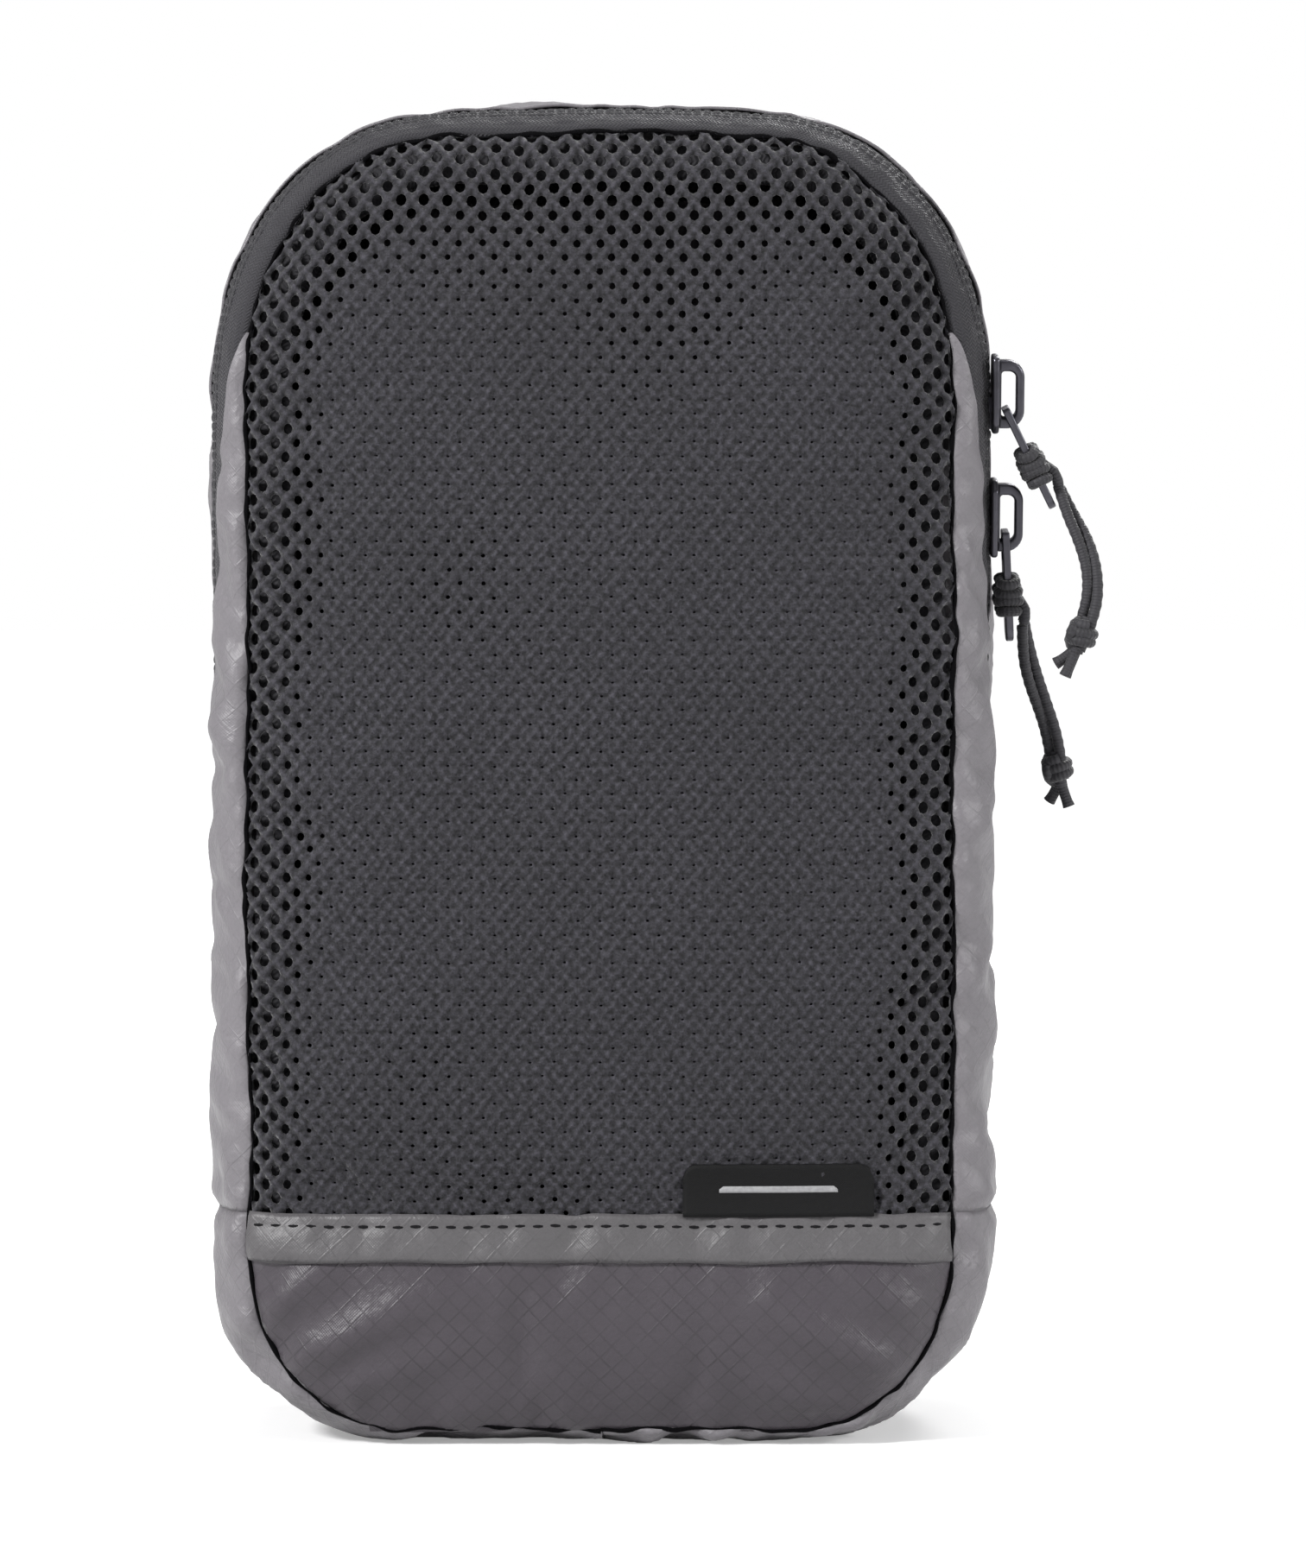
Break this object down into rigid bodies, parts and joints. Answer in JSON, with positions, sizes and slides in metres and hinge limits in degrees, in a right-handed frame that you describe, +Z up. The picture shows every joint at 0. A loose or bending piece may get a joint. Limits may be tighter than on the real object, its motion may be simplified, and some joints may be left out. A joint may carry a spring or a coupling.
{
  "type": "packing cube",
  "caption": "Small upright packing cube with a mesh front that unzips round the top on two sliders with cord pulls and folds down about its foot.",
  "frame": {"origin": "centre of the flat face that the cube stands on", "axes": "+X to the right across the front, +Y to the rear, +Z up; the mesh faces -Y"},
  "size_m": [0.1371, 0.0636, 0.206],
  "materials": {
    "ripstop": "ripstop nylon",
    "ripstop_light": "ripstop nylon",
    "mesh": "knitted mesh",
    "zip_tape": "woven tape",
    "zip_coil": "nylon coil",
    "binding": "woven binding",
    "label": "satin label",
    "zip_metal": "dark gunmetal",
    "cord": "braided cord"
  },
  "bodies": {
    "main": {"back_panel": "ripstop", "base_panel": "ripstop", "bottom_boxing": "ripstop_light", "rear_boxing": "ripstop_light", "zip_tape_rear": "zip_tape", "zip_coil_rear": "zip_coil", "rear_seam_binding": "binding", "base_seam_binding": "binding"},
    "lid": {"mesh_window": "mesh", "front_gusset_left": "ripstop_light", "front_gusset_right": "ripstop_light", "zip_tape_front": "zip_tape", "zip_coil_front": "zip_coil", "lid_seam_binding": "binding", "label_patch": "label"},
    "slider_upper": {"slider_body_upper": "zip_metal", "slider_crown_upper": "zip_metal"},
    "puller_upper": {"puller_upper": "zip_metal", "cord_hitch_upper": "cord"},
    "cord_upper": {"pull_cord_upper": "cord", "cord_knot_upper": "cord"},
    "slider_lower": {"slider_body_lower": "zip_metal", "slider_crown_lower": "zip_metal"},
    "puller_lower": {"puller_lower": "zip_metal", "cord_hitch_lower": "cord"},
    "cord_lower": {"pull_cord_lower": "cord", "cord_knot_lower": "cord"}
  },
  "joints": [
    {"name": "lid_fold", "type": "hinge", "parent": "main", "child": "lid", "pos_m": [0, -0.0322, 0.0362], "axis": [1, 0, 0], "range_deg": [0, 100]},
    {"name": "slider_upper_slide", "type": "slide", "parent": "main", "child": "slider_upper", "axis": [0, -0.1545, 0.988], "range_m": [0, 0.006]},
    {"name": "slider_lower_slide", "type": "slide", "parent": "main", "child": "slider_lower", "axis": [0, 0.1545, -0.988], "range_m": [0, 0.098]},
    {"name": "puller_upper_swing", "type": "hinge", "parent": "slider_upper", "child": "puller_upper", "pos_m": [0.0626, -0.0193, 0.15938], "axis": [0, -0.988, -0.1545], "range_deg": [0, 100]},
    {"name": "puller_lower_swing", "type": "hinge", "parent": "slider_lower", "child": "puller_lower", "pos_m": [0.0626, -0.01633, 0.14038], "axis": [0, -0.988, -0.1545], "range_deg": [0, 65]},
    {"name": "cord_upper_swing", "type": "hinge", "parent": "puller_upper", "child": "cord_upper", "pos_m": [0.07089, -0.01747, 0.14766], "axis": [0, -0.988, -0.1545], "range_deg": [0, 35]},
    {"name": "cord_lower_swing", "type": "hinge", "parent": "puller_lower", "child": "cord_lower", "pos_m": [0.0656, -0.01414, 0.12639], "axis": [0, -0.988, -0.1545], "range_deg": [0, 35]}
  ]
}
